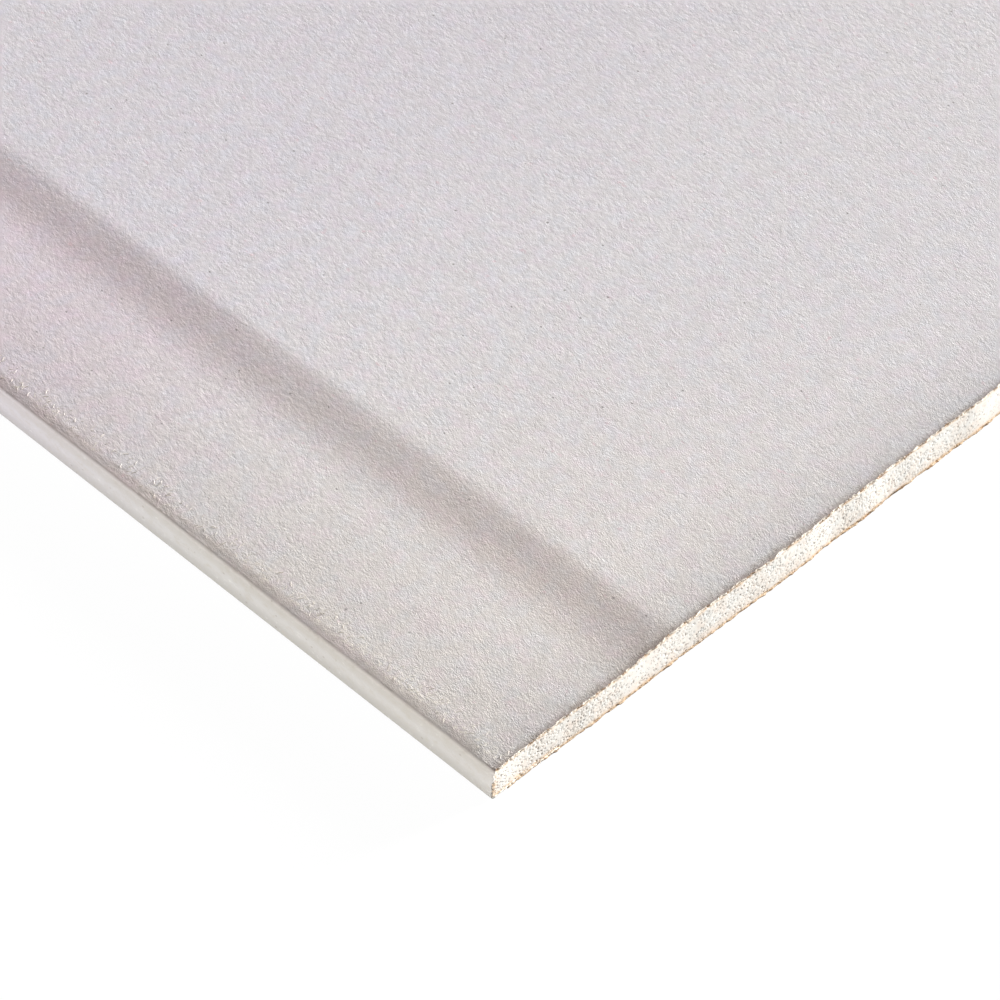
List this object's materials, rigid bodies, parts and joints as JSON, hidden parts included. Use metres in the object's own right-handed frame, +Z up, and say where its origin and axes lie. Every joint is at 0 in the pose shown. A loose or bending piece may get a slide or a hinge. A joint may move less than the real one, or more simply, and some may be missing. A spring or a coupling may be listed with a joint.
{
  "type": "drywall sheet",
  "caption": "Full sheet of paper-faced gypsum board with tapered, paper-wrapped long edges and square-cut ends, for lining walls and ceilings.",
  "frame": {"origin": "middle of the sheet, on the plane that the back paper lies on", "axes": "+X along the length, +Y across the width, +Z up out of the face"},
  "size_m": [2.4, 1.2, 0.0125],
  "materials": {
    "gypsum": "matte",
    "face_paper": "matte",
    "back_paper": "matte"
  },
  "bodies": {
    "root": {"gypsum_core": "gypsum", "face_paper": "face_paper", "back_paper": "back_paper"}
  },
  "joints": []
}
